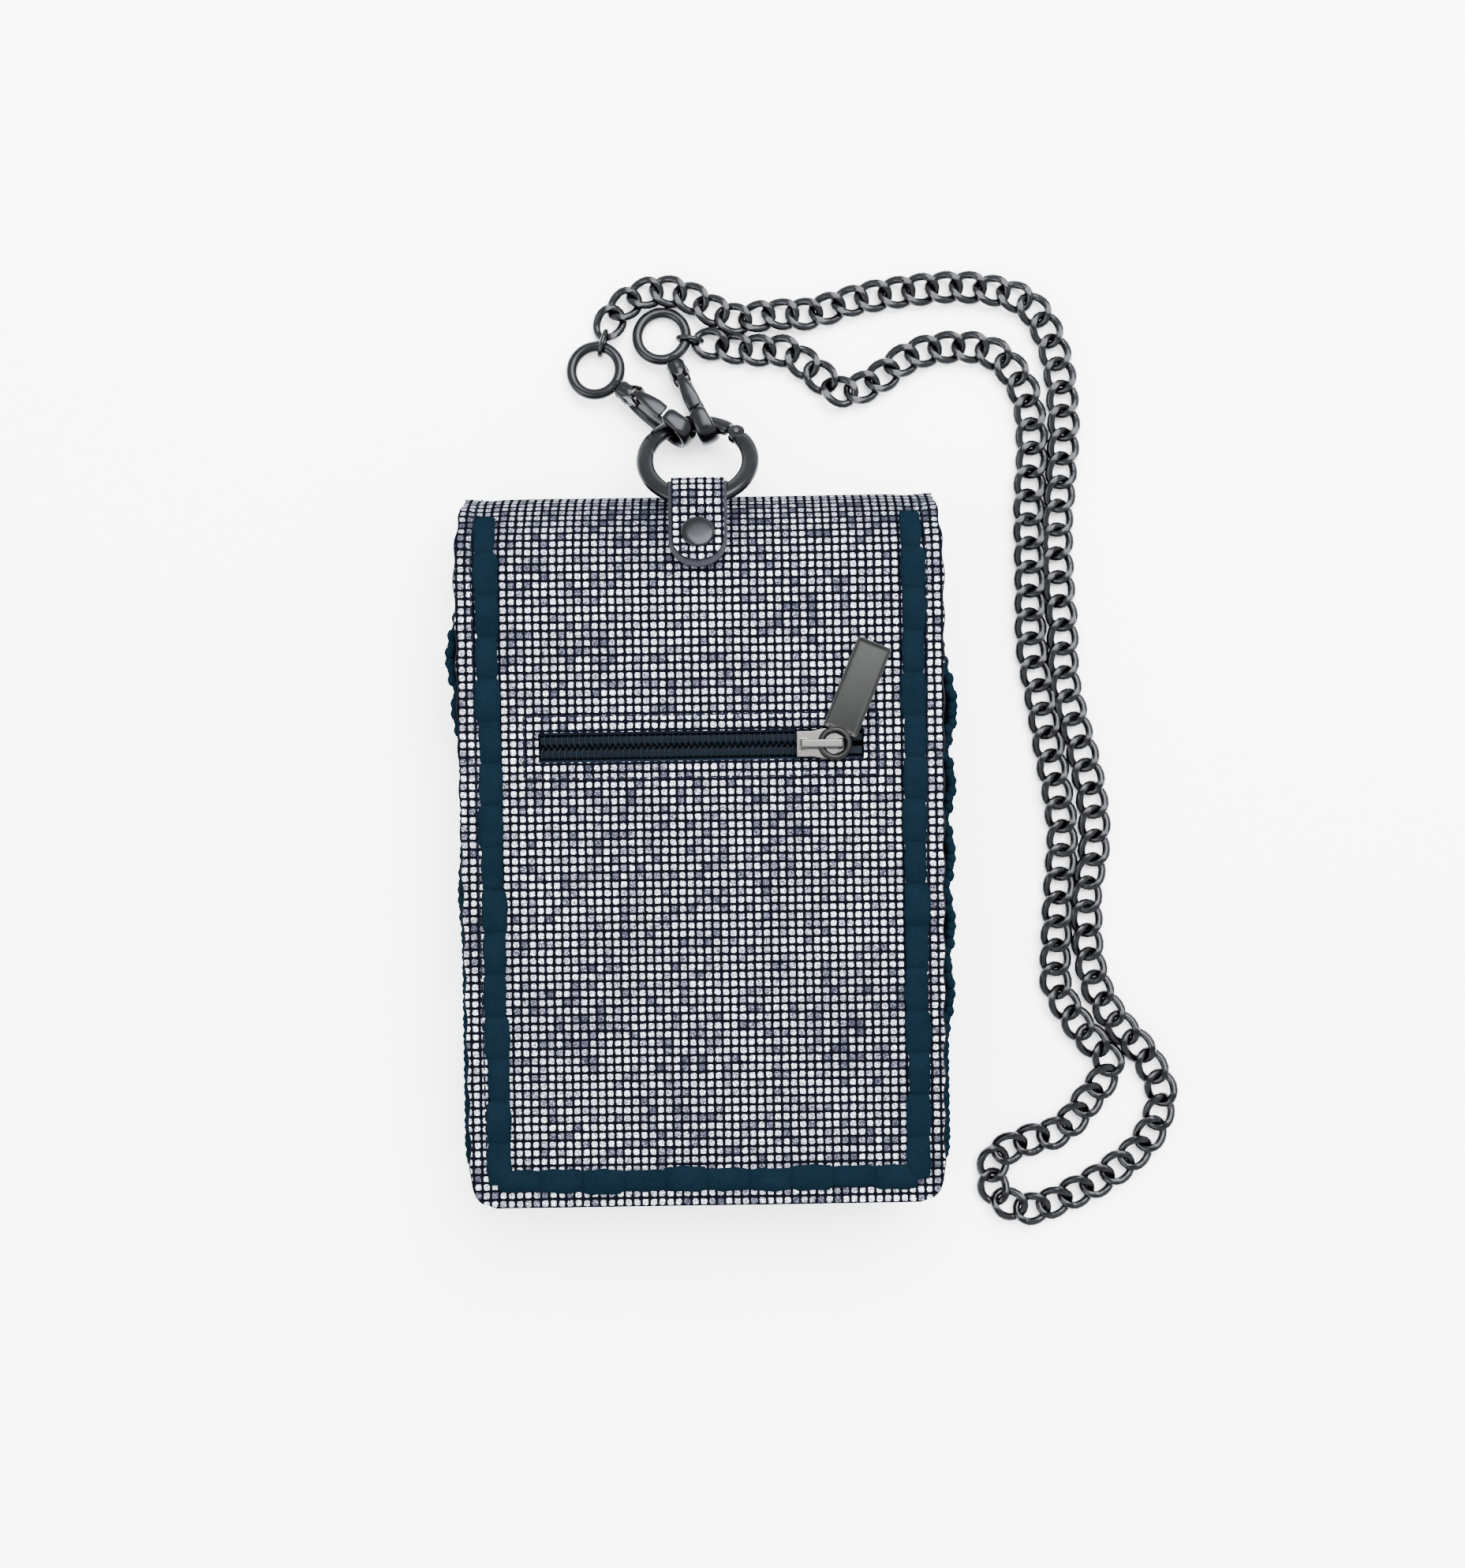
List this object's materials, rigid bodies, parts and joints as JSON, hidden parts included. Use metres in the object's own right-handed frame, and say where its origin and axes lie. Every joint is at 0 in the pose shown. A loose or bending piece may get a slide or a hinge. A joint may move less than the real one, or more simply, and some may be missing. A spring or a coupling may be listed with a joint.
{
  "type": "crossbody phone pouch with chain strap",
  "caption": "Flat crossbody pouch with a glitter back, a zipped pocket, a snap flap, crocheted sides, a spring-gate ring and a long doubled chain strap on swivel clasps.",
  "frame": {"origin": "centre of the pouch's underside, on the surface it lies on, under the middle of its box without the chain", "axes": "+Z out of the back panel, away from the surface; +Y towards the top fold and the ring; +X to the right seen from above"},
  "size_m": [0.1774, 0.2371, 0.0292],
  "materials": {
    "glitter_leather": "silver glitter squares under a fine black mesh, satin",
    "black_lining": "smooth black synthetic leather, cut edge",
    "crochet_yarn": "dark navy cotton yarn, crocheted and laced",
    "pocket_cloth": "plain black pocket cloth",
    "zip_tape": "woven black zip tape",
    "zip_coil": "nylon coil, slightly shiny",
    "bright_nickel": "polished nickel plate",
    "gunmetal": "satin gunmetal plate",
    "chain_gunmetal": "polished gunmetal plate with flat facets"
  },
  "bodies": {
    "root": {"back_panel": "glitter_leather", "back_lining": "black_lining", "crochet_front": "crochet_yarn", "crochet_gusset": "crochet_yarn", "snap_socket": "bright_nickel", "snap_backplate": "bright_nickel", "lacing_left": "crochet_yarn", "lacing_right": "crochet_yarn", "lacing_bottom": "crochet_yarn", "zip_tape_upper": "zip_tape", "zip_tape_lower": "zip_tape", "zip_coil_upper": "zip_coil", "zip_coil_lower": "zip_coil", "pocket_bag": "pocket_cloth", "tab_lining": "black_lining", "tab_strap": "glitter_leather", "rivet_cap": "gunmetal", "rivet_post": "bright_nickel", "chain": "chain_gunmetal"},
    "flap": {"flap_leather": "glitter_leather", "flap_lining": "black_lining", "snap_stud": "bright_nickel"},
    "slider": {"zip_slider": "bright_nickel"},
    "pull": {"zip_pull": "gunmetal"},
    "ring": {"ring_body": "gunmetal", "gate_pin": "bright_nickel"},
    "gate": {"ring_gate": "gunmetal"},
    "clasp_left": {"hook_left": "gunmetal", "trigger_pin_left": "bright_nickel", "trigger_spring_left": "bright_nickel"},
    "lever_left": {"trigger_left": "gunmetal"},
    "swivel_left": {"swivel_left": "gunmetal"},
    "clasp_right": {"hook_right": "gunmetal", "trigger_pin_right": "bright_nickel", "trigger_spring_right": "bright_nickel"},
    "lever_right": {"trigger_right": "gunmetal"},
    "swivel_right": {"swivel_right": "gunmetal"}
  },
  "joints": [
    {"name": "zip_slide", "type": "slide", "parent": "root", "child": "slider", "axis": [-1, 0, 0], "range_m": [-0.004, 0.061], "deforming": ["zip_coil_upper", "zip_coil_lower"]},
    {"name": "pull_swing", "type": "hinge", "parent": "slider", "child": "pull", "pos_m": [0.0319, -0.0001, 0.0274], "axis": [0, 0, 1], "range_deg": [-110, 45]},
    {"name": "flap_hinge", "type": "hinge", "parent": "root", "child": "flap", "pos_m": [0, 0.0626, 0.005], "axis": [1, 0, 0], "range_deg": [0, 120]},
    {"name": "ring_swing", "type": "hinge", "parent": "root", "child": "ring", "pos_m": [0, 0.0596, 0.0211], "axis": [1, 0, 0], "range_deg": [0, 75], "deforming": ["tab_strap", "tab_lining"]},
    {"name": "gate_pivot", "type": "hinge", "parent": "ring", "child": "gate", "pos_m": [0.00962, 0.07731, 0.0087], "axis": [0, 0.5736, 0.8192], "range_deg": [0, 16], "stiffness_Nm_per_rad": 0.01, "springref_deg": -20.05},
    {"name": "clasp_left_lift", "type": "hinge", "parent": "gate", "child": "clasp_left", "pos_m": [-0.00588, 0.07966, 0.00705], "axis": [0.6253, 0.7373, -0.2559], "range_deg": [0, 8]},
    {"name": "trigger_left_press", "type": "hinge", "parent": "clasp_left", "child": "lever_left", "pos_m": [-0.01446, 0.08744, 0.00852], "axis": [0.6253, 0.7373, -0.2559], "range_deg": [0, 16], "stiffness_Nm_per_rad": 0.002, "springref_deg": -17.19, "deforming": ["trigger_spring_left"]},
    {"name": "swivel_left_turn", "type": "hinge", "parent": "clasp_left", "child": "swivel_left", "pos_m": [-0.02536, 0.09488, 0.0033], "axis": [-0.7791, 0.6087, -0.15], "continuous": true},
    {"name": "clasp_right_lift", "type": "hinge", "parent": "gate", "child": "clasp_right", "pos_m": [0.00135, 0.08076, 0.00628], "axis": [0.9048, 0.4171, 0.0862], "range_deg": [0, 20]},
    {"name": "trigger_right_press", "type": "hinge", "parent": "clasp_right", "child": "lever_right", "pos_m": [-0.00361, 0.09121, 0.00785], "axis": [0.9048, 0.4171, 0.0862], "range_deg": [0, 16], "stiffness_Nm_per_rad": 0.002, "springref_deg": -17.19, "deforming": ["trigger_spring_right"]},
    {"name": "swivel_right_turn", "type": "hinge", "parent": "clasp_right", "child": "swivel_right", "pos_m": [-0.0087, 0.10334, 0.00253], "axis": [-0.4021, 0.9032, -0.15], "continuous": true}
  ]
}
